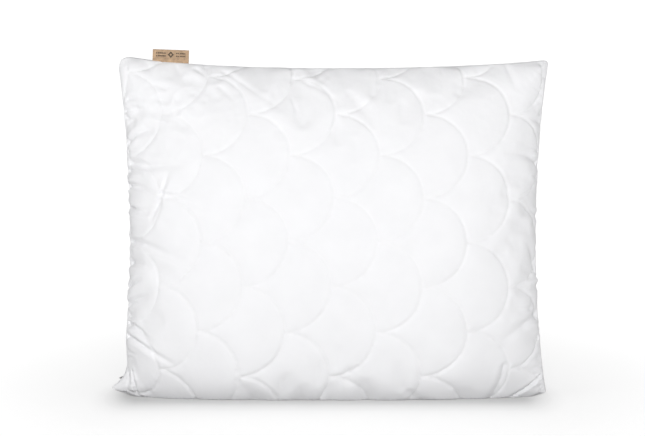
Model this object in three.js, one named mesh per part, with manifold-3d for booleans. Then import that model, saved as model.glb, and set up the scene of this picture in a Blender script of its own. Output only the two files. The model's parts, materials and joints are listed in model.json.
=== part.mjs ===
// A quilted bed pillow that stands on one long edge.
//
// Two quilted panels, front and back, are sewn together round a fibre filling. Each panel is a sandwich of
// cover fabric, wadding and lining, held together by clamshell quilting. A folded label is caught in the
// top seam. Millimetres, +Z up. +X runs along the long side, and the front faces -Y.

import * as THREE from "three";
import { mergeVertices } from "three/addons/utils/BufferGeometryUtils.js";
import Module from "manifold-3d";

const wasm = await Module();
wasm.setup();

// The filled pillow
const WIDTH = 574;
const HEIGHT = 446;
const DEPTH = 150;
const SIDE_PULL = 15;
const TOP_PULL = 7;
const BASE_SINK = 20;
const CORNER_LIFT = 3;

// How the filling swells: the fullest height is set by the two powers up the panel
const ACROSS_FLATNESS = 2.8;
const ACROSS_POWER = 0.55;
const TOP_POWER = 0.6;
const BOTTOM_POWER = 0.42;

// Corners that stand away from the outline: side, end, and how far they go in X and Z
const EARS = [
  { side: -1, end: 1, outwards: 2, upwards: 11 },
  { side: -1, end: -1, outwards: 14, upwards: 6 },
  { side: 1, end: 1, outwards: 2, upwards: 4 },
  { side: 1, end: -1, outwards: 2, upwards: 0 },
];
const EAR_REACH = 7;

// Layers of a panel, and the room left between pieces that touch
const CLEARANCE = 0.3;
const COVER_THICKNESS = 0.5;
const WADDING_THICKNESS = 6;
const LINING_THICKNESS = 0.4;

// The cut panel and its clamshell quilting
const FLAT_WIDTH = 600;
const FLAT_HEIGHT = 500;
const SHELL_RADIUS = 57;
const FIRST_COLUMN_MARGIN = 19;
const FIRST_ROW_MARGIN = 26;
const QUILTING_EDGE_MARGIN = 9;
const QUILTING_THREAD_RADIUS = 0.45;
const QUILTING_STANDOFF = 1.8;
const QUILTING_FLOOR_CLEARANCE = 3;
const QUILTING_STEP = 20;
const QUILTING_TURN_RADIUS = 1;
const QUILTING_GAP = 2;

// How the cloth slides over the filling: up in the middle, down beside the side seams, and low down
// towards the first column's seam
const MIDDLE_RISE = 13.5;
const SIDE_DROP = 25;
const LOW_DRIFT = 27;

// Seam and label. The two seam threads stop short of the left corners, as a share of each side.
const SEAM_THREAD_DIAMETER = 0.6;
const SEAM_INSET = 3;
const SEAM_THREAD_END = 0.985;
const LABEL_WIDTH = 50;
const LABEL_HEIGHT = 21;
const LABEL_TAIL = 6;
const LABEL_PLY = 0.35;
const LABEL_CORNER_DISTANCE = 73;

// The label wraps round the seam thread, and the seam is as wide as the label
const LABEL_THICKNESS = SEAM_THREAD_DIAMETER + 2 * CLEARANCE + 2 * LABEL_PLY;
const SEAM_GAP = LABEL_THICKNESS + 2 * CLEARANCE;

// Mesh fineness
const CELLS_ACROSS = 16;
const CELLS_UP = 12;
const SEAM_STEPS = 18;
const QUILTING_THREAD_SIDES = 3;
const SEAM_THREAD_SIDES = 6;
const LENGTH_SAMPLES = 200;
const MERGE_DISTANCE = 1e-3;

const COLOURS = {
  cover: 0xf4f4f6,
  wadding: 0xeeeeea,
  lining: 0xe2e4e8,
  filling: 0xf8f6f0,
  thread: 0xfafafa,
  label: 0xcda67e,
};

const FRONT = -1;
const BACK = 1;

// --- The filled surface -------------------------------------------------------------------------

const fullestT = (BOTTOM_POWER - TOP_POWER) / (BOTTOM_POWER + TOP_POWER);

function swellUp(t) {
  return Math.pow(Math.max(0, 1 - t), TOP_POWER) * Math.pow(Math.max(0, 1 + t), BOTTOM_POWER);
}

// How full the pillow is at a place, from 0 on the seam to 1 where it is fullest
function fullness(s, t) {
  const across = Math.pow(Math.max(0, 1 - Math.pow(Math.abs(s), ACROSS_FLATNESS)), ACROSS_POWER);
  return across * swellUp(t) / swellUp(fullestT);
}

// A point of a panel. s and t run from -1 to 1 across and up it, and inset goes into the pillow.
function panelPoint(s, t, inset, side, gap = SEAM_GAP) {
  const halfWidth = WIDTH / 2 - SIDE_PULL * (1 - t * t) - inset;
  const edgeLift = Math.pow(s, 4);
  const bottom = CORNER_LIFT * edgeLift - BASE_SINK * (1 - edgeLift) + inset;
  const top = HEIGHT - TOP_PULL * (1 - s * s) - inset;
  let x = s * halfWidth;
  let z = bottom + (t + 1) / 2 * (top - bottom);
  for (const ear of EARS) {
    const share = Math.pow((1 + s * ear.side) / 2 * (1 + t * ear.end) / 2, EAR_REACH);
    x += ear.side * ear.outwards * share;
    z += ear.upwards * share;
  }
  const y = side * (gap / 2 + (DEPTH / 2 - gap / 2 - inset) * fullness(s, t));
  return new THREE.Vector3(x, y, Math.max(z, inset));
}

// Cells crowd towards the edges, where the surface turns fastest
function edgeCrowded(index, count) {
  return Math.sin((index / count - 0.5) * Math.PI);
}

function gridPoints(inset, side, gap) {
  const points = [];
  for (let row = 0; row <= CELLS_UP; row++) {
    for (let column = 0; column <= CELLS_ACROSS; column++) {
      const s = edgeCrowded(column, CELLS_ACROSS);
      const t = edgeCrowded(row, CELLS_UP);
      points.push(panelPoint(s, t, inset, side, gap));
    }
  }
  return points;
}

const gridIndex = (column, row) => row * (CELLS_ACROSS + 1) + column;

// Indices of the grid's rim, once round
function rimIndices() {
  const rim = [];
  for (let column = 0; column < CELLS_ACROSS; column++) rim.push(gridIndex(column, 0));
  for (let row = 0; row < CELLS_UP; row++) rim.push(gridIndex(CELLS_ACROSS, row));
  for (let column = CELLS_ACROSS; column > 0; column--) rim.push(gridIndex(column, CELLS_UP));
  for (let row = CELLS_UP; row > 0; row--) rim.push(gridIndex(0, row));
  return rim;
}

function gridTriangles(start, flipped) {
  const triangles = [];
  for (let row = 0; row < CELLS_UP; row++) {
    for (let column = 0; column < CELLS_ACROSS; column++) {
      const a = start + gridIndex(column, row);
      const b = start + gridIndex(column + 1, row);
      const c = start + gridIndex(column + 1, row + 1);
      const d = start + gridIndex(column, row + 1);
      triangles.push(...(flipped ? [a, c, b, a, d, c] : [a, b, c, a, c, d]));
    }
  }
  return triangles;
}

function closedGeometry(points, triangles) {
  const geometry = new THREE.BufferGeometry();
  geometry.setFromPoints(points);
  geometry.setIndex(triangles);
  geometry.computeVertexNormals();
  return geometry;
}

// --- Layers and filling -------------------------------------------------------------------------

// One bowl-shaped layer of a panel, open towards the seam
function layerGeometry(outerInset, thickness, side) {
  const outer = gridPoints(outerInset, side);
  const inner = gridPoints(outerInset + thickness, side);
  const isBack = side === BACK;
  const triangles = gridTriangles(0, isBack);
  triangles.push(...gridTriangles(outer.length, !isBack));
  const rim = rimIndices();
  rim.forEach((here, position) => {
    const next = rim[(position + 1) % rim.length];
    const a = here;
    const b = next;
    const c = next + outer.length;
    const d = here + outer.length;
    triangles.push(...(isBack ? [a, b, c, a, c, d] : [a, c, b, a, d, c]));
  });
  return closedGeometry([...outer, ...inner], triangles);
}

// The filling is closed along its own rim, so its two faces share the rim's points
function fillingGeometry(inset) {
  const front = gridPoints(inset, FRONT, 0);
  const back = gridPoints(inset, BACK, 0);
  const triangles = gridTriangles(0, false);
  triangles.push(...gridTriangles(front.length, true));
  const geometry = closedGeometry([...front, ...back], triangles);
  geometry.deleteAttribute("normal");
  return mergeVertices(geometry, MERGE_DISTANCE);
}

// --- Threads ------------------------------------------------------------------------------------

function threadSection(radius, sides) {
  const shape = new THREE.Shape();
  for (let corner = 0; corner < sides; corner++) {
    const angle = corner / sides * 2 * Math.PI;
    const x = radius * Math.cos(angle);
    const y = radius * Math.sin(angle);
    if (corner === 0) shape.moveTo(x, y);
    else shape.lineTo(x, y);
  }
  return shape;
}

// A path whose steps fall on its own points, so threads that share a point meet there
class PointToPointCurve extends THREE.CatmullRomCurve3 {
  getPointAt(share, target) {
    return this.getPoint(share, target);
  }

  getTangentAt(share, target) {
    return this.getTangent(share, target);
  }
}

function threadGeometry(points, radius, sides) {
  const path = new PointToPointCurve(points);
  const options = { steps: points.length - 1, extrudePath: path };
  return new THREE.ExtrudeGeometry(threadSection(radius, sides), options);
}

function asManifold(geometry) {
  const bare = geometry.clone();
  bare.deleteAttribute("normal");
  bare.deleteAttribute("uv");
  const merged = mergeVertices(bare, MERGE_DISTANCE);
  return new wasm.Manifold(new wasm.Mesh({
    numProp: 3,
    vertProperties: new Float32Array(merged.attributes.position.array),
    triVerts: new Uint32Array(merged.index.array),
  }));
}

function asGeometry(solid) {
  const mesh = solid.getMesh();
  const geometry = new THREE.BufferGeometry();
  geometry.setAttribute("position", new THREE.BufferAttribute(mesh.vertProperties, 3));
  geometry.setIndex(new THREE.BufferAttribute(mesh.triVerts, 1));
  geometry.computeVertexNormals();
  return geometry;
}

// Turns a distance along the flat panel into s or t, by the length measured along the filled surface
function lengthToShare(pointAt, flatLength) {
  const lengths = [0];
  for (let sample = 1; sample <= LENGTH_SAMPLES; sample++) {
    const before = pointAt(2 * (sample - 1) / LENGTH_SAMPLES - 1);
    const here = pointAt(2 * sample / LENGTH_SAMPLES - 1);
    lengths.push(lengths[sample - 1] + here.distanceTo(before));
  }
  const total = lengths[LENGTH_SAMPLES];
  return (distance) => {
    const wanted = (distance / flatLength + 0.5) * total;
    let sample = 1;
    while (sample < LENGTH_SAMPLES && lengths[sample] < wanted) sample++;
    const step = (wanted - lengths[sample - 1]) / (lengths[sample] - lengths[sample - 1]);
    return 2 * (sample - 1 + step) / LENGTH_SAMPLES - 1;
  };
}

const acrossShare = lengthToShare((s) => panelPoint(s, fullestT, 0, FRONT), FLAT_WIDTH);
const upShare = lengthToShare((t) => panelPoint(0, t, 0, FRONT), FLAT_HEIGHT);

// Where a place on the flat panel comes to lie on the filled one
function filledPlace(across, up) {
  const a = across / (FLAT_WIDTH / 2);
  const b = up / (FLAT_HEIGHT / 2);
  const rise = MIDDLE_RISE * (1 - a * a) - SIDE_DROP * Math.pow(a, 6) * (1 - b);
  const drift = LOW_DRIFT * (1 - a * a) * (1 - a) / 2 * Math.pow((1 - b) / 2, 1.5);
  return [acrossShare(across - drift), upShare(up + rise * (1 - b * b))];
}

// Whole columns of semicircles that fit between the side seams. Each has a thread of its own.
const quiltedWidth = FLAT_WIDTH - FIRST_COLUMN_MARGIN - QUILTING_EDGE_MARGIN;
const quiltingColumns = Math.floor(quiltedWidth / SHELL_RADIUS);

function onQuilting(up, point) {
  const withinHeight = Math.abs(up) <= FLAT_HEIGHT / 2 - QUILTING_EDGE_MARGIN;
  return withinHeight && point.z > QUILTING_FLOOR_CLEARANCE;
}

// Places on the flat panel down one column: semicircles that bulge away from the first column, with a tight
// turn from each to the next. The turns stop short of the widest place of the column before.
function columnPlaces(column) {
  const start = -FLAT_WIDTH / 2 + FIRST_COLUMN_MARGIN + column * SHELL_RADIUS;
  const bulge = SHELL_RADIUS - QUILTING_TURN_RADIUS - 2 * QUILTING_THREAD_RADIUS - QUILTING_GAP;
  const halfRise = SHELL_RADIUS - QUILTING_TURN_RADIUS;
  const quarterSteps = Math.ceil(Math.PI / 2 * SHELL_RADIUS / QUILTING_STEP);
  const firstRow = column % 2 === 0 ? -1 : 0;
  const places = [];
  for (let row = firstRow; row <= FLAT_HEIGHT / SHELL_RADIUS; row += 2) {
    const centre = FLAT_HEIGHT / 2 - FIRST_ROW_MARGIN - row * SHELL_RADIUS;
    for (let step = quarterSteps; step >= -quarterSteps; step--) {
      const angle = step / quarterSteps * Math.PI / 2;
      places.push([start + bulge * Math.cos(angle), centre + halfRise * Math.sin(angle)]);
    }
    places.push([start - QUILTING_TURN_RADIUS, centre - SHELL_RADIUS]);
  }
  return places;
}

function quiltingThreadGeometry(column, side) {
  const points = [];
  for (const [across, up] of columnPlaces(column)) {
    const [s, t] = filledPlace(across, up);
    const point = panelPoint(side === BACK ? -s : s, t, -QUILTING_STANDOFF, side);
    if (onQuilting(up, point)) points.push(point);
  }
  return threadGeometry(points, QUILTING_THREAD_RADIUS, QUILTING_THREAD_SIDES);
}

// A run of thread in the seam, from one place on the panel's edge to another on the same side
function seamRun(from, to) {
  const points = [];
  for (let step = 0; step <= SEAM_STEPS; step++) {
    const share = step / SEAM_STEPS;
    const s = from[0] + (to[0] - from[0]) * share;
    const t = from[1] + (to[1] - from[1]) * share;
    const point = panelPoint(s, t, SEAM_INSET, FRONT);
    point.y = 0;
    points.push(point);
  }
  return threadGeometry(points, SEAM_THREAD_DIAMETER / 2, SEAM_THREAD_SIDES);
}

// One thread closes the bottom, right and top sides before filling, and another the left side after it
function seamThreadGeometry() {
  const bottom = asManifold(seamRun([-SEAM_THREAD_END, -1], [1, -1]));
  const right = asManifold(seamRun([1, -1], [1, 1]));
  const top = asManifold(seamRun([1, 1], [-SEAM_THREAD_END, 1]));
  return asGeometry(bottom.add(right).add(top));
}

function closingThreadGeometry() {
  return seamRun([-1, -SEAM_THREAD_END], [-1, SEAM_THREAD_END]);
}

// --- Label --------------------------------------------------------------------------------------

// A strip folded double over the top of the seam thread, open at its tail
function labelProfile() {
  const outer = LABEL_THICKNESS / 2;
  const inner = outer - LABEL_PLY;
  const fold = LABEL_HEIGHT - outer;
  const shape = new THREE.Shape();
  shape.moveTo(-outer, -LABEL_TAIL);
  shape.lineTo(-inner, -LABEL_TAIL);
  shape.lineTo(-inner, fold);
  shape.absarc(0, fold, inner, Math.PI, 0, true);
  shape.lineTo(inner, -LABEL_TAIL);
  shape.lineTo(outer, -LABEL_TAIL);
  shape.lineTo(outer, fold);
  shape.absarc(0, fold, outer, 0, Math.PI, false);
  return shape;
}

function labelGeometry() {
  const geometry = new THREE.ExtrudeGeometry(labelProfile(), {
    depth: LABEL_WIDTH,
    bevelEnabled: false,
    curveSegments: 4,
  });
  geometry.translate(0, 0, -LABEL_WIDTH / 2);
  return geometry;
}

// Stands the label up on the top seam and tilts it with the seam's slope
function placeLabel(mesh) {
  const s = -1 + 2 * LABEL_CORNER_DISTANCE / WIDTH;
  const seamPoint = panelPoint(s, 1, 0, FRONT);
  const neighbour = panelPoint(s + 0.02, 1, 0, FRONT);
  const slope = Math.atan2(neighbour.z - seamPoint.z, neighbour.x - seamPoint.x);
  const seamPlace = new THREE.Group();
  seamPlace.position.set(seamPoint.x, 0, seamPoint.z);
  seamPlace.rotation.y = -slope;
  mesh.rotation.set(Math.PI / 2, Math.PI / 2, 0);
  seamPlace.add(mesh);
  return seamPlace;
}

// --- The pillow ---------------------------------------------------------------------------------

function piece(name, geometry, color, roughness) {
  const material = new THREE.MeshStandardMaterial({ color, roughness, metalness: 0 });
  const mesh = new THREE.Mesh(geometry, material);
  mesh.name = name;
  return mesh;
}

const waddingInset = COVER_THICKNESS + CLEARANCE;
const liningInset = waddingInset + WADDING_THICKNESS + CLEARANCE;
const fillingInset = liningInset + LINING_THICKNESS + CLEARANCE;

function panel(prefix, side) {
  const group = new THREE.Group();
  const cover = layerGeometry(0, COVER_THICKNESS, side);
  const wadding = layerGeometry(waddingInset, WADDING_THICKNESS, side);
  const lining = layerGeometry(liningInset, LINING_THICKNESS, side);
  group.add(piece(`${prefix}_cover_fabric`, cover, COLOURS.cover, 0.7));
  group.add(piece(`${prefix}_wadding`, wadding, COLOURS.wadding, 1));
  group.add(piece(`${prefix}_lining`, lining, COLOURS.lining, 0.9));
  for (let column = 0; column < quiltingColumns; column++) {
    const name = `${prefix}_quilting_thread_${column + 1}`;
    group.add(piece(name, quiltingThreadGeometry(column, side), COLOURS.thread, 0.5));
  }
  return group;
}

const pillow = new THREE.Group();
pillow.add(panel("front", FRONT));
pillow.add(panel("back", BACK));
pillow.add(piece("fibre_filling", fillingGeometry(fillingInset), COLOURS.filling, 1));
pillow.add(piece("seam_thread", seamThreadGeometry(), COLOURS.thread, 0.5));
pillow.add(piece("closing_thread", closingThreadGeometry(), COLOURS.thread, 0.5));
pillow.add(placeLabel(piece("side_label", labelGeometry(), COLOURS.label, 0.8)));

// The origin is the middle of the pillow's box, on the ground
const box = new THREE.Box3().setFromObject(pillow);
pillow.position.set(-(box.min.x + box.max.x) / 2, -(box.min.y + box.max.y) / 2, -box.min.z);

const part = new THREE.Group();
part.add(pillow);

export default part;
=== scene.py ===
"""A quilted bed pillow standing on its long edge, in metres, +Z up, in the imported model's frame."""
import json
import math

import bpy
import numpy as np
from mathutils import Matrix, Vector


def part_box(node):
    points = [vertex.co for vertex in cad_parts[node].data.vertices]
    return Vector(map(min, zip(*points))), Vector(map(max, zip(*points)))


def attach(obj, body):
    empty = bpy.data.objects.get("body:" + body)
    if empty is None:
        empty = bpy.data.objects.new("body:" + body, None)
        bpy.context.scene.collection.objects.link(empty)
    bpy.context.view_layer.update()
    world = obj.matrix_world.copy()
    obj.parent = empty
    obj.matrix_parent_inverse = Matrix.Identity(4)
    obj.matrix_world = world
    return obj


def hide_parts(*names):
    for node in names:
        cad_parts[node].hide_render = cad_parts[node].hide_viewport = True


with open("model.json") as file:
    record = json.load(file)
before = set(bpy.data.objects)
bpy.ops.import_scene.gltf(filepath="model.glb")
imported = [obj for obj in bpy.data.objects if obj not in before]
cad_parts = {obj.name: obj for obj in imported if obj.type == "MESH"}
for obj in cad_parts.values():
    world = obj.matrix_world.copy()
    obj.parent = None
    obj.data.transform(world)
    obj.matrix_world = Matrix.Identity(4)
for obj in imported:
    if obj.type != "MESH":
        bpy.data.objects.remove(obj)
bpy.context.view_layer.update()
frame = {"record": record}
FRONT_LOW, FRONT_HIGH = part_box("front_cover_fabric")
COLOURS = {row["slot"]: row["base_color"] for row in frame["record"]["materials"]}

# ---- the casing: two flat panels, and the outline that they draw in to when filled ----
FLAT_WIDTH = 0.600
FLAT_HEIGHT = 0.500
SIDE_PULL = 0.015  # how far a side seam draws in at its middle
TOP_PULL = 0.007
BASE_SINK = 0.020  # how far the cloth between the bottom corners presses down onto the ground
CORNER_LIFT = 0.003
ACROSS_FLATNESS = 3.7
ACROSS_POWER = 0.50
TOP_POWER = 0.60
BOTTOM_POWER = 0.42
# Each corner's ear: side, end, how far outwards, how far upwards, how sharply it stands off and how flat
# it is.
EARS = [
    (-1, 1, 0.002, 0.011, 7, 0.35),
    (-1, -1, 0.016, 0.006, 26, 0.75),
    (1, 1, 0.002, 0.004, 7, 0.2),
    (1, -1, 0.002, 0, 7, 0.3),
]
CORNER_ROUNDING = {(-1, 1): 0.022, (-1, -1): 0.007, (1, 1): 0.008, (1, -1): 0.004}
# The left side draws in just above the bottom left ear: how far, at what height t, over what span.
PINCH = (0.006, -0.86, 0.12)
# How the cloth slides over the filling: up in the middle, down beside the side seams, and outwards low down
# on the left.
MIDDLE_RISE = 0.0135
SIDE_DROP = 0.025
LOW_DRIFT = 0.027
LEFT_OUT = max(ear[2] for ear in EARS if ear[0] < 0)
RIGHT_OUT = max(ear[2] for ear in EARS if ear[0] > 0)
WIDTH = FRONT_HIGH.x - FRONT_LOW.x - LEFT_OUT - RIGHT_OUT
CENTRE_X = FRONT_LOW.x + LEFT_OUT + WIDTH / 2
HEIGHT = 0.446
DEPTH = -2 * FRONT_LOW.y

# ---- the quilting: columns of semicircles, each starting where the last column is widest ----
SHELL_RADIUS = 0.057
FIRST_COLUMN = -FLAT_WIDTH / 2 + 0.019
FIRST_ROW = FLAT_HEIGHT / 2 - 0.026
COLUMNS = range(-1, 11)
PUFF = 0.0014
PUFF_REACH = 0.006
GROOVE = 0.0008
GROOVE_WIDTH = 0.0014

# ---- meshes ----
CLOTH_COLUMNS = 80  # the simulated cloth's cells
CLOTH_ROWS = 66
CLOTH_FRAMES = 22
WRINKLE_SHARE = 0.6  # how much of its wrinkles a well-filled casing keeps
FINE_COLUMNS = 324  # the shown cloth's cells
FINE_ROWS = 268
INNER_STEP = 4  # the inner face has one cell for so many of the outer face's, each way
PANEL_THICKNESS = 0.007
SEAM_THICKNESS = 0.0012
SEAM_GAP = 0.0003


def swell_up(t):
    """How thick the pillow is from its bottom, t = -1, to its top, t = 1."""
    return np.maximum(0, 1 - t) ** TOP_POWER * np.maximum(0, 1 + t) ** BOTTOM_POWER


FULLEST = (BOTTOM_POWER - TOP_POWER) / (BOTTOM_POWER + TOP_POWER)


def casing_point(s, t, side):
    """The filled casing's smooth shape. s runs across and t up, from -1 to 1; side is -1 in front."""
    edge = s**4
    bottom = CORNER_LIFT * edge - BASE_SINK * (1 - edge)
    top = HEIGHT - TOP_PULL * (1 - s * s)
    x = s * (WIDTH / 2 - SIDE_PULL * (1 - t * t))
    z = bottom + (t + 1) / 2 * (top - bottom)
    x = x + PINCH[0] * ((1 - s) / 2) ** 6 * np.exp(-(((t - PINCH[1]) / PINCH[2]) ** 2))
    across = np.maximum(0, 1 - np.abs(s) ** ACROSS_FLATNESS) ** ACROSS_POWER
    y = side * DEPTH / 2 * across * swell_up(t) / swell_up(np.array(FULLEST))
    for ear_side, ear_end, outwards, upwards, reach, flatness in EARS:
        share = ((1 + s * ear_side) / 2 * (1 + t * ear_end) / 2) ** reach
        x = x + ear_side * outwards * share
        z = z + upwards * share
        y = y * (1 - flatness * share)
    return np.stack([CENTRE_X + x, y, z], -1)


def even_along(section, steps=400):
    """A map from an even place along a section of the casing, -1 to 1, to the section's parameter."""
    q = np.linspace(-1, 1, steps + 1)
    lengths = np.linalg.norm(np.diff(section(q), axis=0), axis=1)
    run = np.concatenate([[0], np.cumsum(lengths)])
    return lambda place: np.interp((place + 1) / 2 * run[-1], run, q)


ACROSS_MAP = even_along(lambda s: casing_point(s, np.full_like(s, FULLEST), 1))
UP_MAP = even_along(lambda t: casing_point(np.zeros_like(t), t, 1))


def casing_surface(u, v, side):
    """The smooth casing at flat panel coordinates u, v, in metres from the panel's middle."""
    a, b = np.clip(-side * u / (FLAT_WIDTH / 2), -1, 1), np.clip(v / (FLAT_HEIGHT / 2), -1, 1)
    rise = MIDDLE_RISE * (1 - a * a) - SIDE_DROP * a**6 * (1 - b)
    drift = LOW_DRIFT * (1 - a * a) * (1 - a) / 2 * ((1 - b) / 2) ** 1.5
    a = a - drift / (FLAT_WIDTH / 2)
    b = b + rise * (1 - b * b) / (FLAT_HEIGHT / 2)
    s = (1 - b**4) * ACROSS_MAP(a) + b**4 * a
    t = (1 - a**6) * UP_MAP(b) + a**6 * b
    return casing_point(-side * s, t, side)


def rounded_corners(u, v):
    """Flat coordinates with each corner of the panel drawn in to a quarter circle."""
    for (side, end), radius in CORNER_ROUNDING.items():
        a = np.clip((side * u - FLAT_WIDTH / 2) / radius + 1, 0, 1)
        b = np.clip((end * v - FLAT_HEIGHT / 2) / radius + 1, 0, 1)
        draw = np.maximum(a, b) / np.maximum(np.hypot(a, b), 1e-9)
        near = (a > 0) & (b > 0)
        u = np.where(near, u - side * radius * a * (1 - draw), u)
        v = np.where(near, v - end * radius * b * (1 - draw), v)
    return u, v


def flat_grid(columns, rows):
    across = np.linspace(-FLAT_WIDTH / 2, FLAT_WIDTH / 2, columns + 1)
    up = np.linspace(-FLAT_HEIGHT / 2, FLAT_HEIGHT / 2, rows + 1)
    return np.meshgrid(across, up)


def grid_normals(points, side):
    """Unit normals of a grid of points, pointing out of the pillow."""
    normal = np.cross(np.gradient(points, axis=1), np.gradient(points, axis=0))
    length = np.linalg.norm(normal, axis=-1, keepdims=True)
    return -side * normal / np.maximum(length, 1e-12)


def edge_distance(u, v):
    return np.minimum(FLAT_WIDTH / 2 - np.abs(u), FLAT_HEIGHT / 2 - np.abs(v))


def cubic_matrix(coarse, fine):
    """Catmull-Rom weights that carry coarse + 1 evenly spaced values to fine + 1."""
    place = np.linspace(0, coarse, fine + 1)
    cell = np.minimum(place.astype(int), coarse - 1)
    t = place - cell
    spans = [
        (-t + 2 * t**2 - t**3) / 2,
        (2 - 5 * t**2 + 3 * t**3) / 2,
        (t + 4 * t**2 - 3 * t**3) / 2,
        (t**3 - t**2) / 2,
    ]
    weights = np.zeros((fine + 1, coarse + 1))
    for k, span in enumerate(spans):
        np.add.at(weights, (np.arange(fine + 1), np.clip(cell + k - 1, 0, coarse)), span)
    return weights


def refine(grid, columns, rows):
    """A grid of values carried smoothly to one of columns x rows cells."""
    up = cubic_matrix(grid.shape[0] - 1, rows)
    across = cubic_matrix(grid.shape[1] - 1, columns)
    return up @ grid @ across.T


def blur(grid, passes, axes=(0, 1)):
    """A binomial blur that keeps a straight slope as it is, right up to the edges."""
    for _ in range(passes):
        for axis in axes:
            pad = [(1, 1) if k == axis else (0, 0) for k in range(grid.ndim)]
            wide = np.pad(grid, pad, mode="reflect", reflect_type="odd")
            low = np.take(wide, range(0, grid.shape[axis]), axis)
            high = np.take(wide, range(2, grid.shape[axis] + 2), axis)
            grid = (low + 2 * grid + high) / 4
    return grid


def soft_noise(shape, cell, rng):
    """Smooth random values of about unit size, with a bump every cell grid steps."""
    coarse = rng.normal(0, 1, (int(shape[0] / cell) + 3, int(shape[1] / cell) + 3))
    return refine(coarse, shape[1] - 1, shape[0] - 1)


# ---- meshes in Blender ----


def grid_faces(numbers, flip):
    quads = np.stack([numbers[:-1, :-1], numbers[:-1, 1:], numbers[1:, 1:], numbers[1:, :-1]], -1)
    quads = quads.reshape(-1, 4)
    return quads[:, ::-1] if flip else quads


def make_object(name, points, faces, material=None):
    mesh = bpy.data.meshes.new(name)
    mesh.from_pydata(np.asarray(points).tolist(), [], [list(face) for face in faces])
    mesh.update()
    mesh.polygons.foreach_set("use_smooth", [True] * len(mesh.polygons))
    if material:
        mesh.materials.append(material)
    piece = bpy.data.objects.new(name, mesh)
    bpy.context.collection.objects.link(piece)
    return piece


# ---- the cloth simulation, which gives the wrinkles ----


def sewn_cloth(rng):
    """Both panels as one closed cloth, sewn along the edge, at the smooth casing's shape."""
    u, v = flat_grid(CLOTH_COLUMNS, CLOTH_ROWS)
    count = u.size
    front = np.arange(count).reshape(u.shape)
    back = front + count
    inside = np.zeros(u.shape, bool)
    inside[1:-1, 1:-1] = True
    back = np.where(inside, back, front)
    used = np.unique(np.concatenate([front.ravel(), back.ravel()]))
    renumber = np.zeros(2 * count, int)
    renumber[used] = np.arange(used.size)
    front, back = renumber[front], renumber[back]
    filled, flat = [], []
    for side in (-1, 1):
        points = casing_surface(u, v, side)
        points[..., 1] += 0.0006 * soft_noise(u.shape, 3, rng)
        filled.append(points.reshape(-1, 3))
        flat.append(np.stack([u, 0 * u, v], -1).reshape(-1, 3))
    faces = np.concatenate([grid_faces(front, False), grid_faces(back, True)])
    cloth = make_object("cloth", np.concatenate(filled)[used], faces)
    cloth.shape_key_add(name="Basis")
    cut = cloth.shape_key_add(name="cut")
    cut.value = 0
    cut.data.foreach_set("co", np.concatenate(flat)[used].ravel())
    return cloth, cut, front, back


def simulate(cloth, cut):
    """Blows the sewn cloth up from the inside and returns its points."""
    modifier = cloth.modifiers.new("Cloth", "CLOTH")
    settings = modifier.settings
    settings.quality = 6
    settings.mass = 0.4
    settings.tension_stiffness = 30
    settings.compression_stiffness = 20
    settings.shear_stiffness = 10
    settings.bending_stiffness = 2
    settings.tension_damping = 5
    settings.compression_damping = 5
    settings.shear_damping = 5
    settings.air_damping = 2
    settings.use_pressure = True
    settings.uniform_pressure_force = 3
    settings.use_pressure_volume = True
    settings.target_volume = 0.024
    settings.effector_weights.gravity = 0
    settings.rest_shape_key = cut
    modifier.collision_settings.use_collision = False
    modifier.point_cache.frame_end = CLOTH_FRAMES + 1
    for number in range(1, CLOTH_FRAMES + 1):
        bpy.context.scene.frame_set(number)
    shaped = cloth.evaluated_get(bpy.context.evaluated_depsgraph_get()).to_mesh()
    points = np.zeros(len(shaped.vertices) * 3)
    shaped.vertices.foreach_get("co", points)
    bpy.data.objects.remove(cloth)
    bpy.context.scene.frame_set(1)
    return points.reshape(-1, 3)


def wrinkles_of(points, side):
    """How far the cloth stands off its own smoothed shape, less what is even along each edge."""
    smoothed = blur(points, 18)
    height = np.sum((points - smoothed) * grid_normals(smoothed, side), -1)
    u, v = flat_grid(CLOTH_COLUMNS, CLOTH_ROWS)
    beside = FLAT_WIDTH / 2 - np.abs(u) < FLAT_HEIGHT / 2 - np.abs(v)
    return WRINKLE_SHARE * (height - np.where(beside, blur(height, 60, (0,)), blur(height, 60, (1,))))


def cloth_wrinkles():
    """The front and back panels' wrinkles, as heights on the fine grid."""
    cloth, cut, front, back = sewn_cloth(np.random.default_rng(4))
    points = simulate(cloth, cut)
    return {
        side: refine(wrinkles_of(points[numbers], side), FINE_COLUMNS, FINE_ROWS)
        for side, numbers in ((-1, front), (1, back))
    }


# ---- the quilting ----


def shell_centres():
    """Each semicircle's column and the height of its middle, over the whole panel."""
    for column in COLUMNS:
        for row in range(-1, 10):
            if (row + column) % 2:
                yield column, FIRST_COLUMN + column * SHELL_RADIUS, FIRST_ROW - row * SHELL_RADIUS


def quilting_relief(u, v, rng):
    """Height of the puffs, stitch grooves and the small puckers that the stitching draws up."""
    nearest = np.full(u.shape, 1.0)
    along = np.zeros(u.shape)
    phase = np.zeros(u.shape)
    for _, middle_u, middle_v in shell_centres():
        du, dv = u - middle_u, v - middle_v
        on_arc = du >= 0
        to_end = np.hypot(du, np.abs(dv) - SHELL_RADIUS)
        distance = np.where(on_arc, np.abs(np.hypot(du, dv) - SHELL_RADIUS), to_end)
        closer = distance < nearest
        nearest = np.where(closer, distance, nearest)
        along = np.where(closer, SHELL_RADIUS * np.arctan2(dv, du), along)
        phase = np.where(closer, rng.uniform(0, 2 * math.pi), phase)
    puff = PUFF * (1 - np.exp(-nearest / PUFF_REACH))
    groove = -GROOVE * np.exp(-((nearest / GROOVE_WIDTH) ** 2))
    ripple = np.sin(along / 0.0021 + phase) + np.sin(along / 0.0034 + 2.3 * phase)
    pucker = 0.00016 * ripple * np.exp(-nearest / 0.005)
    return puff + groove + pucker


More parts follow.
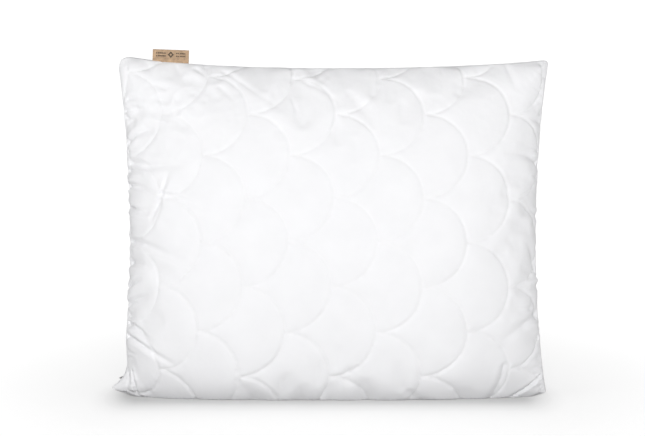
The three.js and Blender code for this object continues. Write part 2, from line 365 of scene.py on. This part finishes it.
# ---- folds and gathers ----
# Each fold of the front panel: where it starts and ends in flat panel millimetres, its depth and width.
LEFT_FOLDS = [
    ((-279, 190), (-250, 184), 5.8, 5),
    ((-292, 176), (-240, 168), 9, 5),
    ((-288, 131), (-229, 146), 9, 5),
    ((-276, 108), (-190, 93), 10.5, 6),
    ((-292, 99), (-250, 84), 10.5, 5),
    ((-294, 75), (-228, 59), 11, 4.5),
    ((-296, 51), (-234, 38), 12, 4.5),
    ((-222, 55), (-150, 43), 5.5, 4),
    ((-226, 59), (-210, 93), 5, 3.5),
    ((-228, 49), (-240, 15), 5, 4),
    ((-296, -3), (-183, -23), 11, 6),
    ((-294, -27), (-236, -38), 9, 5),
    ((-290, -60), (-250, -54), 9, 4),
    ((-284, -89), (-240, -71), 10, 5),
    ((-288, -118), (-226, -134), 8, 4),
    ((-284, -140), (-193, -160), 9, 4.5),
    ((-278, -196), (-262, -238), 13, 3),
    ((-290, 168), (-264, 152), 7, 6),
]
RIGHT_FOLDS = [
    ((298, 181), (280, 169), 6.5, 4),
    ((296, 159), (262, 165), 6.5, 5),
    ((297, 107), (222, 111), 6.5, 6),
    ((298, 39), (262, 45), 5.2, 6),
    ((298, -49), (256, -1), 6.5, 6),
    ((297, -61), (262, -64), 7.8, 6),
    ((290, -104), (216, -129), 7.8, 8),
    ((268, -90), (222, -100), 4.5, 6),
    ((298, -127), (276, -143), 6.5, 3),
    ((226, -169), (207, -224), 5.2, 6),
    ((292, -204), (226, -223), 6.5, 4),
    ((298, -174), (268, -171), 3.9, 2.5),
    ((298, -189), (272, -183), 3.9, 2.5),
    ((298, -206), (270, -194), 3.9, 2.5),
    ((240, 247), (243, 199), 3.9, 6),
]
TOP_FOLDS = [
    ((-262, 247), (-236, 214), 3, 7),
    ((-214, 248), (-196, 205), 4, 6),
    ((-186, 232), (-150, 215), 3, 5),
    ((-176, 248), (-160, 219), 3, 6),
    ((-236, 205), (-196, 185), 2.5, 6),
    ((-150, 205), (-118, 177), 2.5, 6),
    ((-150, 228), (-58, 180), 2.4, 4),
    ((-38, 218), (14, 176), 2.2, 4),
    ((-52, 190), (-46, 160), 1.6, 3),
]


def fold_relief(u, v, folds):
    """Creases between soft shoulders, deepest at their start and fading to their end."""
    height = np.zeros(u.shape)
    for start, end, depth, width in folds:
        start, end = np.array(start) / 1000, np.array(end) / 1000
        depth, width = depth / 1000, width / 1000
        run = np.linalg.norm(end - start)
        way = (end - start) / run
        along = ((u - start[0]) * way[0] + (v - start[1]) * way[1]) / run
        aside = (v - start[1]) * way[0] - (u - start[0]) * way[1]
        aside = aside + 0.06 * run * np.sin(3 * along + 40 * depth / width)
        spread = width * (0.85 + 0.35 * np.clip(along, 0, 1))
        fade = np.clip(1 - along, 0, 1) ** 0.8 * np.exp(-(np.minimum(along, 0) * run / 0.004) ** 2)
        valley = 0.75 * np.exp(-((aside / spread) ** 2)) + 0.25 * np.exp(-np.abs(aside) / (0.4 * spread))
        shoulder = 0.35 * np.exp(-((aside / (2.4 * spread)) ** 2))
        height -= depth * fade * (valley - shoulder)
    return height


def seam_gathers(rng, spacing, reach, depth):
    """Random folds that run in from a seam all round the panel, as the gathered cloth makes."""
    folds = []
    for vertical in (True, False):
        length, across = (FLAT_HEIGHT, FLAT_WIDTH) if vertical else (FLAT_WIDTH, FLAT_HEIGHT)
        share = 1 if vertical else 0.55
        for side in (-1, 1):
            place = -length / 2 + 0.02
            while place < length / 2 - 0.02:
                inwards = reach * rng.uniform(0.5, 1.3) * share
                slant = rng.normal(0, 0.25) - 0.35 * place / length
                start = (side * (across / 2 - 0.003), place)
                end = (side * (across / 2 - inwards), place + inwards * slant)
                if not vertical:
                    start, end = start[::-1], end[::-1]
                deep = depth * rng.uniform(0.4, 1.2) * share
                folds.append((np.array(start) * 1000, np.array(end) * 1000, deep, rng.uniform(2.2, 4.5)))
                place += spacing * rng.uniform(0.6, 1.5) / share
    return folds


def facets(u, v):
    """Crumpled facets below the top left corner, where the filling is loose."""
    shape = u.shape
    rng = np.random.default_rng(12)
    ridges = 0.6 - np.abs(soft_noise(shape, 9, rng)) - 0.5 * np.abs(soft_noise(shape, 5, rng))
    near = np.exp(-(np.hypot(u + 0.195, v - 0.175) / 0.065) ** 2)
    return 0.0011 * ridges * near


GATHER_SPACING = 0.012
GATHER_REACH = 0.040
GATHER_DEPTH = 2.1  # in millimetres, as the folds are
SEAM_TUCK = 0.0022  # how far the cloth draws in at the seam itself
SEAM_WAVE = 0.0012  # how far the seam wanders forwards and backwards
DENT_SHARE = 0.07  # how much of a fold's depth shows in the outline
# How far from the seam the quilting, and then the folds, come to their full height.
QUILTED_FROM = 0.004
FOLDED_FROM = 0.008


def panel_surface(side, wrinkles):
    """The shown cloth of one panel, on the fine grid, and the same cloth before it is quilted."""
    u, v = flat_grid(FINE_COLUMNS, FINE_ROWS)
    rng = np.random.default_rng(21 if side < 0 else 22)
    gathers = seam_gathers(rng, GATHER_SPACING, GATHER_REACH, GATHER_DEPTH)
    folds = gathers + (LEFT_FOLDS + RIGHT_FOLDS + TOP_FOLDS if side < 0 else [])
    from_edge = edge_distance(u, v)
    free = 1 - np.exp(-((from_edge / QUILTED_FROM) ** 2))
    loose = 1 - np.exp(-((from_edge / FOLDED_FROM) ** 2))
    smooth = casing_surface(*rounded_corners(u, v), side)
    smooth[..., 1] *= 1 - np.exp(-from_edge / 0.0012)
    relief = wrinkles + fold_relief(u, v, folds) + facets(u, v)
    bulk = smooth + grid_normals(smooth, side) * (relief * loose)[..., None]
    waves = SEAM_WAVE * soft_noise(u.shape, 14, np.random.default_rng(5))
    bulk[..., 1] += waves * np.exp(-from_edge / 0.016)
    inwards = np.stack([CENTRE_X - bulk[..., 0], 0 * u, HEIGHT / 2 - bulk[..., 2]], -1)
    inwards /= np.linalg.norm(inwards, axis=-1, keepdims=True) + 1e-9
    dents = np.maximum(-fold_relief(u, v, LEFT_FOLDS + RIGHT_FOLDS), 0)
    tuck = SEAM_TUCK * np.exp(-from_edge / 0.0022) + DENT_SHARE * dents * np.exp(-from_edge / 0.012)
    bulk += inwards * tuck[..., None]
    quilt = quilting_relief(-side * u, v, rng) - PUFF
    shown = bulk + grid_normals(bulk, side) * (quilt * free)[..., None]
    shown[..., 1] += side * SEAM_GAP / 2
    shown[..., 2] = np.maximum(shown[..., 2], 0)
    return shown, bulk


def rim_loop(numbers):
    """The numbers round a grid's edge, in order."""
    return np.concatenate([numbers[0, :-1], numbers[:-1, -1], numbers[-1, :0:-1], numbers[:0:-1, 0]])


def closing_faces(outer, inner, flip):
    """Faces that join a fine rim to a coarser one with one point for every INNER_STEP."""
    faces = []
    count = len(inner)
    for k in range(count):
        first, last = inner[k], inner[(k + 1) % count]
        for step in range(INNER_STEP):
            a = outer[(INNER_STEP * k + step) % len(outer)]
            b = outer[(INNER_STEP * k + step + 1) % len(outer)]
            faces.append((first, b, a) if step < INNER_STEP / 2 else (last, b, a))
        middle = outer[INNER_STEP * k + INNER_STEP // 2]
        faces.append((first, last, middle))
    return [face[::-1] for face in faces] if flip else faces


def make_panel(name, side, shown, bulk, materials):
    """A quilted panel: cover fabric outside, lining inside, one closed shell round the wadding."""
    inner_u, inner_v = (grid[::INNER_STEP, ::INNER_STEP] for grid in flat_grid(FINE_COLUMNS, FINE_ROWS))
    behind = blur(bulk, 10)[::INNER_STEP, ::INNER_STEP]
    from_edge = edge_distance(inner_u, inner_v)
    thickness = SEAM_THICKNESS + (PANEL_THICKNESS - SEAM_THICKNESS) * (1 - np.exp(-from_edge / 0.02))
    behind = behind - grid_normals(behind, side) * thickness[..., None]
    behind[..., 1] = side * np.maximum(side * behind[..., 1], SEAM_GAP)
    behind[..., 2] = np.maximum(behind[..., 2], SEAM_THICKNESS)
    outer = np.arange(shown[..., 0].size).reshape(shown.shape[:2])
    inner = outer.size + np.arange(behind[..., 0].size).reshape(behind.shape[:2])
    outside = grid_faces(outer, side > 0)
    inside = grid_faces(inner, side < 0)
    rim = closing_faces(rim_loop(outer), rim_loop(inner), side > 0)
    points = np.concatenate([shown.reshape(-1, 3), behind.reshape(-1, 3)])
    piece = make_object(name, points, [*outside.tolist(), *rim, *inside.tolist()], materials[0])
    piece.data.materials.append(materials[1])
    lined = [0] * len(outside) + [1] * (len(rim) + len(inside))
    piece.data.polygons.foreach_set("material_index", lined)
    u, v = flat_grid(FINE_COLUMNS, FINE_ROWS)
    places = np.concatenate([
        np.stack([u, v, 0 * u], -1).reshape(-1, 3),
        np.stack([inner_u, inner_v, 0 * inner_u], -1).reshape(-1, 3),
    ])
    store = piece.data.attributes.new("on_cloth", "FLOAT_VECTOR", "POINT")
    store.data.foreach_set("vector", places.ravel())
    return piece


# ---- stitches ----
STITCH_PITCH = 0.0034
STITCH_LENGTH = 0.0026
STITCH_RADIUS = 0.00032
STITCH_SIDES = 5
# Rings along a stitch: place, girth and rise, as shares of its length and radius.
STITCH_RINGS = [(0, 0.35, -0.6), (0.25, 1, 0.25), (0.75, 1, 0.25), (1, 0.35, -0.6)]
QUILTING_MARGIN = 0.009


def sample(grid, u, v):
    """A fine grid's values at flat coordinates u, v."""
    x = (u / FLAT_WIDTH + 0.5) * FINE_COLUMNS
    y = (v / FLAT_HEIGHT + 0.5) * FINE_ROWS
    column = np.clip(x.astype(int), 0, FINE_COLUMNS - 1)
    row = np.clip(y.astype(int), 0, FINE_ROWS - 1)
    fx, fy = (x - column)[:, None], (y - row)[:, None]
    low = grid[row, column] * (1 - fx) + grid[row, column + 1] * fx
    high = grid[row + 1, column] * (1 - fx) + grid[row + 1, column + 1] * fx
    return low * (1 - fy) + high * fy


def stitch_mesh(name, starts, ends, ups, material):
    """Short threads from starts to ends that dip into the cloth at both ends."""
    way = ends - starts
    ups = ups / np.linalg.norm(ups, axis=1, keepdims=True)
    aside = np.cross(way, ups)
    aside /= np.linalg.norm(aside, axis=1, keepdims=True)
    points = []
    for place, girth, rise in STITCH_RINGS:
        middle = starts + way * place + ups * rise * STITCH_RADIUS
        for corner in range(STITCH_SIDES):
            turn = 2 * math.pi * corner / STITCH_SIDES
            round_it = aside * math.cos(turn) + ups * math.sin(turn)
            points.append(middle + round_it * girth * STITCH_RADIUS)
    per_stitch = len(points)
    points = np.stack(points, 1).reshape(-1, 3)
    faces = []
    for stitch in range(len(starts)):
        base = stitch * per_stitch
        for ring in range(len(STITCH_RINGS) - 1):
            for corner in range(STITCH_SIDES):
                a = base + ring * STITCH_SIDES + corner
                b = base + ring * STITCH_SIDES + (corner + 1) % STITCH_SIDES
                faces.append((a, b, b + STITCH_SIDES, a + STITCH_SIDES))
        faces.append([base + corner for corner in reversed(range(STITCH_SIDES))])
        last = base + per_stitch - STITCH_SIDES
        faces.append([last + corner for corner in range(STITCH_SIDES)])
    return make_object(name, points, faces, material)


def quilting_stitches(name, column, side, shown, normals, material):
    """One needle's stitches: a column of semicircles, up or down the whole panel."""
    starts, ends = [], []
    for shell, middle_u, middle_v in shell_centres():
        if shell != column:
            continue
        pitch_angle = STITCH_PITCH / SHELL_RADIUS
        for number in range(int(math.pi / pitch_angle)):
            begin = -math.pi / 2 + (number + 0.12) * pitch_angle
            finish = begin + STITCH_LENGTH / SHELL_RADIUS
            for points, angle in ((starts, begin), (ends, finish)):
                u = middle_u + SHELL_RADIUS * math.cos(angle)
                v = middle_v + SHELL_RADIUS * math.sin(angle)
                points.append((u, v))
    starts, ends = np.array(starts), np.array(ends)
    keep = edge_distance(starts[:, 0], starts[:, 1]) > QUILTING_MARGIN
    keep &= edge_distance(ends[:, 0], ends[:, 1]) > QUILTING_MARGIN
    starts, ends = starts[keep], ends[keep]
    starts[:, 0] *= -side
    ends[:, 0] *= -side
    ups = sample(normals, *starts.T)
    return stitch_mesh(name, sample(shown, *starts.T), sample(shown, *ends.T), ups, material)


# ---- materials ----


def new_material(name, colour, roughness):
    """A material, its node tree and its Principled shader."""
    material = bpy.data.materials.new(name)
    material.use_nodes = True
    shader = material.node_tree.nodes["Principled BSDF"]
    shader.inputs["Base Color"].default_value = (*colour, 1)
    shader.inputs["Roughness"].default_value = roughness
    return material, material.node_tree, shader


def add_node(tree, kind, links=(), **values):
    """A node with its inputs set, and with links of input name to another node's output."""
    node = tree.nodes.new(kind)
    for key, value in values.items():
        if key == "attribute_name":
            node.attribute_name = value
        else:
            node.inputs[key.replace("_", " ").title()].default_value = value
    for socket, output in links:
        tree.links.new(output, node.inputs[socket])
    return node


def noise(tree, vector, scale, detail=3.0, roughness=0.5):
    links = [("Vector", vector)] if vector else []
    return add_node(tree, "ShaderNodeTexNoise", links, scale=scale, detail=detail, roughness=roughness)


def ramp(tree, factor, low, high, start=0.35, stop=0.65):
    node = add_node(tree, "ShaderNodeValToRGB", [("Fac", factor)])
    for element, place, colour in zip(node.color_ramp.elements, (start, stop), (low, high)):
        element.position = place
        element.color = (*colour, 1)
    return node.outputs["Color"]


def math_node(tree, operation, a, b=None):
    node = tree.nodes.new("ShaderNodeMath")
    node.operation = operation
    for socket, value in zip(node.inputs, (a, b)):
        if isinstance(value, (int, float)):
            socket.default_value = value
        elif value is not None:
            tree.links.new(value, socket)
    return node.outputs[0]


def map_range(tree, value, low, high):
    node = add_node(tree, "ShaderNodeMapRange", [("Value", value)])
    node.inputs["To Min"].default_value = low
    node.inputs["To Max"].default_value = high
    return node.outputs["Result"]


def bump(tree, shader, height, distance, strength=1.0, under=None):
    links = [("Height", height)] + ([("Normal", under)] if under else [])
    node = add_node(tree, "ShaderNodeBump", links, distance=distance, strength=strength)
    tree.links.new(node.outputs["Normal"], shader.inputs["Normal"])
    return node.outputs["Normal"]


def woven_height(tree, place, pitch):
    """Over-and-under threads of a plain weave, from 0 to 1."""
    axes = add_node(tree, "ShaderNodeSeparateXYZ", [("Vector", place)])
    waves = []
    for axis in ("X", "Y"):
        turns = math_node(tree, "MULTIPLY", axes.outputs[axis], math.pi / pitch)
        waves.append(math_node(tree, "SINE", turns))
    return math_node(tree, "MULTIPLY_ADD", math_node(tree, "MULTIPLY", *waves), 0.5)


def tinted(colour, share):
    return tuple(min(1, part * share) for part in colour)


def cover_material():
    """Smooth white microfibre: a fine weave, faint slubs and creases, and a soft sheen."""
    white = COLOURS["cover_fabric"]
    material, tree, shader = new_material("white_microfibre", white, 0.7)
    place = add_node(tree, "ShaderNodeAttribute", attribute_name="on_cloth").outputs["Vector"]
    cloudy = noise(tree, place, 24, 4).outputs["Fac"]
    tint = ramp(tree, cloudy, tinted(white, 0.975), tinted(white, 1.0))
    tree.links.new(tint, shader.inputs["Base Color"])
    mottle = noise(tree, place, 420, 3).outputs["Fac"]
    tree.links.new(map_range(tree, mottle, 0.6, 0.8), shader.inputs["Roughness"])
    shader.inputs["Sheen Weight"].default_value = 0.25
    shader.inputs["Sheen Roughness"].default_value = 0.45
    shader.inputs["Specular IOR Level"].default_value = 0.3
    creases = noise(tree, place, 75, 5, 0.6).outputs["Fac"]
    crumple = bump(tree, shader, creases, 0.0011, 0.35)
    bump(tree, shader, woven_height(tree, place, 0.0005), 0.00006, 0.6, crumple)
    return material


def lining_material():
    """Spun nonwoven: bonded fibres with small pressed dots."""
    colour = COLOURS["lining"]
    material, tree, shader = new_material("nonwoven_lining", colour, 0.85)
    place = add_node(tree, "ShaderNodeAttribute", attribute_name="on_cloth").outputs["Vector"]
    fibres = noise(tree, place, 900, 6, 0.7).outputs["Fac"]
    tint = ramp(tree, fibres, tinted(colour, 0.9), tinted(colour, 1.05))
    tree.links.new(tint, shader.inputs["Base Color"])
    dots = add_node(tree, "ShaderNodeTexVoronoi", [("Vector", place)], scale=380.0)
    bump(tree, shader, dots.outputs["Distance"], 0.0002, 0.8)
    return material


def filling_material():
    """Loose siliconised fibre."""
    colour = COLOURS["filling"]
    material, tree, shader = new_material("loose_fibre", colour, 0.9)
    place = add_node(tree, "ShaderNodeTexCoord").outputs["Object"]
    strands = noise(tree, place, 320, 8, 0.75).outputs["Fac"]
    tint = ramp(tree, strands, tinted(colour, 0.88), tinted(colour, 1.06))
    tree.links.new(tint, shader.inputs["Base Color"])
    shader.inputs["Sheen Weight"].default_value = 0.4
    bump(tree, shader, strands, 0.002, 0.9)
    return material


def thread_material():
    """Spun polyester thread with a twist."""
    colour = COLOURS["thread"]
    material, tree, shader = new_material("spun_thread", colour, 0.6)
    place = add_node(tree, "ShaderNodeTexCoord").outputs["Object"]
    twist = add_node(tree, "ShaderNodeTexWave", [("Vector", place)], scale=900.0, distortion=2.0)
    shade = twist.outputs["Fac"]
    # The thread is darker where the twist's wave is low: painted shade in the grooves between the plies.
    tint = ramp(tree, shade, tinted(colour, 0.9), tinted(colour, 1.03), 0, 1)
    tree.links.new(tint, shader.inputs["Base Color"])
    shader.inputs["Sheen Weight"].default_value = 0.2
    bump(tree, shader, shade, 0.00008, 0.7)
    return material


def label_materials():
    """Washable kraft paper, mottled and creased, and its dark ink."""
    colour = COLOURS["label"]
    made = []
    for name, dark, light in (("kraft_paper", 0.5, 1.0), ("brown_ink", 0.09, 0.2)):
        material, tree, shader = new_material(name, colour, 0.75)
        place = add_node(tree, "ShaderNodeTexCoord").outputs["Object"]
        cloudy = noise(tree, place, 190, 6, 0.7).outputs["Fac"]
        tint = ramp(tree, cloudy, tinted(colour, dark), tinted(colour, light), 0.3, 0.7)
        tree.links.new(tint, shader.inputs["Base Color"])
        fibres = noise(tree, place, 1500, 4, 0.6).outputs["Fac"]
        creases = noise(tree, place, 260, 3, 0.5).outputs["Fac"]
        crumple = bump(tree, shader, creases, 0.0006, 0.5)
        bump(tree, shader, fibres, 0.0001, 0.7, crumple)
        made.append(material)
    return made


# ---- label ----
LABEL_WIDTH = 0.048
LABEL_TOP = 0.0158  # the fold's height above the seam
LABEL_TAIL = 0.006  # how far its ends go down inside the seam
LABEL_PLY = 0.00035
LABEL_GAP = 0.0010
LABEL_COLUMNS = 96
LABEL_ROWS = 100
LABEL_LEAN = -0.035  # how far its fold leans from level, in radians


def printed(x, z):
    """True where the label's plain mark lies: a diamond between pairs of bars."""
    diamond = 0.0018 < abs(x) + abs(z - 0.0098) < 0.0042
    bars = 0.0065 < abs(x) < 0.0195 and (abs(z - 0.0117) < 0.0009 or abs(z - 0.0079) < 0.0009)
    return diamond or (bars and math.sin(x * 2600) > -0.75)


def make_label(shown, paper, ink):
    """A strip of paper folded over, stitched into the top seam by its two ends."""
    box_low, box_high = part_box("side_label")
    middle_x = (box_low.x + box_high.x) / 2
    seam_z = np.interp(middle_x, shown[-1, :, 0], shown[-1, :, 2])
    leg = LABEL_TOP + LABEL_TAIL
    turn = math.pi * LABEL_GAP / 2
    run = np.linspace(0, 2 * leg + turn, LABEL_ROWS + 1)
    angle = np.clip((run - leg) / (turn / math.pi), 0, math.pi) - math.pi / 2
    rise = np.where(run < leg, run, np.where(run > leg + turn, 2 * leg + turn - run, leg))
    over = LABEL_GAP / 2 * np.where(np.abs(angle) < math.pi / 2, np.cos(angle), 0)
    z = rise - LABEL_TAIL + over
    y = LABEL_GAP / 2 * np.sin(angle)
    belly = 0.0007 * np.sin(np.clip(rise / leg, 0, 1) * math.pi) * np.sign(run - leg - turn / 2)
    x = np.linspace(-LABEL_WIDTH / 2, LABEL_WIDTH / 2, LABEL_COLUMNS + 1)
    grid_x, grid_y = np.meshgrid(x, y + belly)
    grid_z = np.repeat(z[:, None], LABEL_COLUMNS + 1, 1)
    curl = (grid_x / LABEL_WIDTH * 2) ** 2 * 0.0012 + 0.0007 * np.sin(grid_x * 150 + grid_z * 90)
    grid_y = grid_y + curl * np.clip(grid_z / LABEL_TOP, 0, 1)
    points = np.stack([grid_x, grid_y, grid_z], -1)
    normal = np.cross(np.gradient(points, axis=1), np.gradient(points, axis=0))
    normal /= np.linalg.norm(normal, axis=-1, keepdims=True)
    faces, marks = [], []
    count = grid_x.size
    numbers = np.arange(count).reshape(grid_x.shape)
    for row in range(LABEL_ROWS):
        for column in range(LABEL_COLUMNS):
            a, b = numbers[row, column], numbers[row, column + 1]
            c, d = numbers[row + 1, column + 1], numbers[row + 1, column]
            mark = printed((x[column] + x[column + 1]) / 2, (z[row] + z[row + 1]) / 2)
            faces.append((a, b, c, d))
            faces.append((d + count, c + count, b + count, a + count))
            marks.extend((int(mark), 0))
    loop = rim_loop(numbers)
    for k, first in enumerate(loop):
        second = loop[(k + 1) % len(loop)]
        faces.append((second, first, first + count, second + count))
        marks.append(0)
    half_ply = normal * LABEL_PLY / 2
    both = np.concatenate([points + half_ply, points - half_ply]).reshape(-1, 3)
    lean = np.array([
        [math.cos(LABEL_LEAN), 0, -math.sin(LABEL_LEAN)],
        [0, 1, 0],
        [math.sin(LABEL_LEAN), 0, math.cos(LABEL_LEAN)],
    ])
    both = both @ lean.T + np.array([middle_x, 0, seam_z])
    piece = make_object("folded_label", both, faces, paper)
    piece.data.materials.append(ink)
    piece.data.polygons.foreach_set("material_index", marks)
    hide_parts("side_label")
    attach(piece, "root")


# ---- seam stitches and filling ----
SEAM_PITCH = 0.0032
CLOSING_PITCH = 0.0052
SEAM_STITCH_SHARE = 0.72


def stitches_along(name, path, pitch, material, node):
    """Stitches along a stretch of the seam."""
    steps = np.linalg.norm(np.diff(path, axis=0), axis=1)
    run = np.concatenate([[0], np.cumsum(steps)])
    begins = np.arange(pitch, run[-1] - pitch, pitch)

    def point_at(place):
        return np.stack([np.interp(place, run, path[:, k]) for k in range(3)], -1)

    starts, ends = point_at(begins), point_at(begins + pitch * SEAM_STITCH_SHARE)
    outwards = starts - np.array([CENTRE_X, 0, HEIGHT / 2])
    outwards[:, 1] = 0
    piece = stitch_mesh(name, starts, ends, outwards, material)
    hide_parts(node)
    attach(piece, "root")


def make_seams(shown, material):
    """The machine seam round the bottom, right and top, and the closing seam up the left side."""
    rim = shown.copy()
    rim[..., 1] += SEAM_GAP / 2
    machine = np.concatenate([rim[0, :-1], rim[:-1, -1], rim[-1, ::-1]])
    machine[:, 2] = np.maximum(machine[:, 2], STITCH_RADIUS * 2)
    stitches_along("seam_stitches", machine, SEAM_PITCH, material, "seam_thread")
    stitches_along("closing_stitches", rim[:, 0], CLOSING_PITCH, material, "closing_thread")


def make_filling(material):
    """The fibre inside, as one closed lumpy body."""
    u, v = flat_grid(CLOTH_COLUMNS, CLOTH_ROWS)
    lumps = np.random.default_rng(8)
    front = np.arange(u.size).reshape(u.shape)
    inside = np.zeros(u.shape, bool)
    inside[1:-1, 1:-1] = True
    back = front.copy()
    back[inside] = u.size + np.arange(inside.sum())
    middle = np.array([CENTRE_X, 0, HEIGHT * 0.48])
    share = np.array([0.955, 0.84, 0.93])
    halves = []
    for side in (-1, 1):
        points = middle + (casing_surface(u, v, side) - middle) * share
        lumpy = 0.0012 * soft_noise(u.shape, 5, lumps) * inside
        points = points + grid_normals(points, side) * lumpy[..., None]
        points[..., 2] = np.maximum(points[..., 2], PANEL_THICKNESS)
        halves.append(points)
    points = np.concatenate([halves[0].reshape(-1, 3), halves[1][inside]])
    faces = np.concatenate([grid_faces(front, False), grid_faces(back, True)])
    piece = make_object("fibre_fill", points, faces, material)
    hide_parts("fibre_filling")
    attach(piece, "root")


# ---- the object ----
cover = cover_material()
lining = lining_material()
thread = thread_material()
wrinkles = cloth_wrinkles()

panels = {}
for side, word in ((-1, "front"), (1, "back")):
    shown, bulk = panel_surface(side, wrinkles[side])
    panels[side] = shown, bulk
    panel = make_panel(f"{word}_quilted_panel", side, shown, bulk, (cover, lining))
    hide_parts(f"{word}_cover_fabric", f"{word}_wadding", f"{word}_lining")
    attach(panel, "root")
    normals = grid_normals(shown, side)
    for number in range(1, 11):
        name = f"{word}_quilting_stitches_{number}"
        stitches = quilting_stitches(name, number - 1, side, shown, normals, thread)
        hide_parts(f"{word}_quilting_thread_{number}")
        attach(stitches, "root")

make_seams(panels[-1][0], thread)
make_filling(filling_material())
make_label(panels[-1][0], *label_materials())

# ---- stage, light and camera ----
VIEW_WIDTH = 0.860
VIEW_CENTRE = Vector((-0.0067, 0, 0.2387))
VIEW_DISTANCE = 2.5
VIEW_ELEVATION = math.radians(4)
SKY_LIGHT = 0.17
GROUND_LIGHT = 0.66
BACKDROP_LIGHT = 1.1
# How far the floor is from the pillow's foot, in metres, and how brightly it glows there; the dimmer glow
# near the foot is a painted soft shadow.
FLOOR_GLOW = [
    (0, 0.28), (0.037, 0.32), (0.053, 0.38), (0.068, 0.46), (0.084, 0.55),
    (0.1, 0.61), (0.13, 0.70), (0.17, 0.76), (0.3, 0.80), (1.2, 1.0),
]
FOOT_HALF_WIDTH = 0.25
BESIDE_FOOT = 2.5  # how much faster the shadow fades beyond the foot's ends than in front of it


def floor_material():
    """White ground that glows less brightly close to the pillow, as a painted soft shadow."""
    material, tree, shader = new_material("white_ground", (0.3, 0.3, 0.3), 0.9)
    shader.inputs["Specular IOR Level"].default_value = 0.1
    shader.inputs["Emission Color"].default_value = (1, 1, 1, 1)
    place = add_node(tree, "ShaderNodeTexCoord").outputs["Object"]
    axes = add_node(tree, "ShaderNodeSeparateXYZ", [("Vector", place)])
    beyond = math_node(tree, "SUBTRACT", math_node(tree, "ABSOLUTE", axes.outputs["X"]), FOOT_HALF_WIDTH)
    beyond = math_node(tree, "MULTIPLY", math_node(tree, "MAXIMUM", beyond, 0.0), BESIDE_FOOT)
    squares = [math_node(tree, "POWER", part, 2.0) for part in (beyond, axes.outputs["Y"])]
    away = math_node(tree, "SQRT", math_node(tree, "ADD", *squares))
    farthest = FLOOR_GLOW[-1][0]
    glow = add_node(tree, "ShaderNodeValToRGB", [("Fac", math_node(tree, "DIVIDE", away, farthest))])
    elements = glow.color_ramp.elements
    while len(elements) < len(FLOOR_GLOW):
        elements.new(0.5)
    for element, (distance, _) in zip(elements, FLOOR_GLOW):
        element.position = distance / farthest
    for element, (_, level) in zip(elements, FLOOR_GLOW):
        element.color = (level, level, level, 1)
    # The floor's glow, lower close to the foot and rising with distance from it, is a painted shadow.
    tree.links.new(glow.outputs["Color"], shader.inputs["Emission Strength"])
    return material


def make_floor():
    reach = 12
    corners = [(-reach, -reach, 0), (reach, -reach, 0), (reach, reach, 0), (-reach, reach, 0)]
    floor = make_object("floor", corners, [(0, 1, 2, 3)], floor_material())
    floor.visible_diffuse = False


def make_contact_shade():
    """An unseen dark strip under the pillow, which keeps the light from below off its foot."""
    material, _, _ = new_material("contact_shade", (0.45, 0.45, 0.45), 1.0)
    x, y, z = 0.29, 0.07, -0.0004
    corners = [(-x, -y, z), (x, -y, z), (x, y, z), (-x, y, z)]
    strip = make_object("contact_shade", corners, [(0, 1, 2, 3)], material)
    strip.visible_camera = False


def make_world():
    world = bpy.data.worlds.new("studio")
    bpy.context.scene.world = world
    world.use_nodes = True
    tree = world.node_tree
    room = tree.nodes["Background"]
    room.inputs["Color"].default_value = (1, 1, 1, 1)
    way = add_node(tree, "ShaderNodeTexCoord").outputs["Generated"]
    height = add_node(tree, "ShaderNodeSeparateXYZ", [("Vector", way)]).outputs["Z"]
    rise = add_node(tree, "ShaderNodeMapRange", [("Value", height)])
    rise.inputs["From Min"].default_value = -1
    rise.inputs["To Min"].default_value = GROUND_LIGHT
    rise.inputs["To Max"].default_value = SKY_LIGHT
    tree.links.new(rise.outputs["Result"], room.inputs["Strength"])
    backdrop = add_node(tree, "ShaderNodeBackground", color=(1, 1, 1, 1), strength=BACKDROP_LIGHT)
    path = add_node(tree, "ShaderNodeLightPath")
    mix = add_node(tree, "ShaderNodeMixShader", [("Fac", path.outputs["Is Camera Ray"])])
    tree.links.new(room.outputs[0], mix.inputs[1])
    tree.links.new(backdrop.outputs[0], mix.inputs[2])
    tree.links.new(mix.outputs[0], tree.nodes["World Output"].inputs["Surface"])


def add_softbox(name, place, width, height, power):
    light = bpy.data.lights.new(name, "AREA")
    light.shape = "RECTANGLE"
    light.size, light.size_y, light.energy = width, height, power
    lamp = bpy.data.objects.new(name, light)
    lamp.location = place
    lamp.rotation_euler = (VIEW_CENTRE - Vector(place)).to_track_quat("-Z", "Y").to_euler()
    bpy.context.collection.objects.link(lamp)


def make_camera():
    data = bpy.data.cameras.new("camera")
    data.lens = data.sensor_width * VIEW_DISTANCE / VIEW_WIDTH
    camera = bpy.data.objects.new("camera", data)
    back = Vector((0, -math.cos(VIEW_ELEVATION), math.sin(VIEW_ELEVATION)))
    camera.location = VIEW_CENTRE + back * VIEW_DISTANCE
    camera.rotation_euler = (-back).to_track_quat("-Z", "Y").to_euler()
    bpy.context.collection.objects.link(camera)
    bpy.context.scene.camera = camera


make_floor()
make_contact_shade()
make_world()
add_softbox("front_softbox", (0.05, -2.25, 0.8), 0.6, 0.6, 28.5)
add_softbox("left_softbox", (-1.7, -1.1, 0.9), 0.6, 0.6, 6.5)
add_softbox("right_softbox", (1.9, -0.9, 0.5), 0.9, 0.9, 3)
make_camera()
bpy.context.scene.view_settings.view_transform = "Standard"
